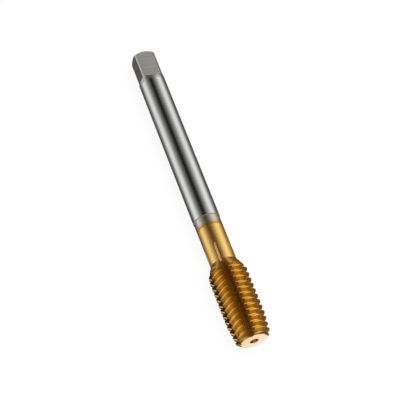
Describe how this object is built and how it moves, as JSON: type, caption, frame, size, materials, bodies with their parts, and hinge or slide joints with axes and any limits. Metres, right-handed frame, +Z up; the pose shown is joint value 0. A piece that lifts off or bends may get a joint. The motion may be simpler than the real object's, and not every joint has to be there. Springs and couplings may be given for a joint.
{
  "type": "thread tap",
  "caption": "Thread-forming machine tap: lobed, grooved threaded end with tapered lead, narrower neck and plain round shank with a milled driving square.",
  "frame": {"origin": "on the tap's axis, in the middle of the ground round shank", "axes": "+X along the axis towards the working tip, +Z up with the tap lying on the mouth of one oil groove, +Y across"},
  "size_m": [0.1109, 0.0126, 0.0125],
  "materials": {
    "ground_steel": "ground high-speed steel, with a golden hard coating on the threaded end and half of the neck"
  },
  "bodies": {
    "root": {"tap_body": "ground_steel"}
  },
  "joints": []
}
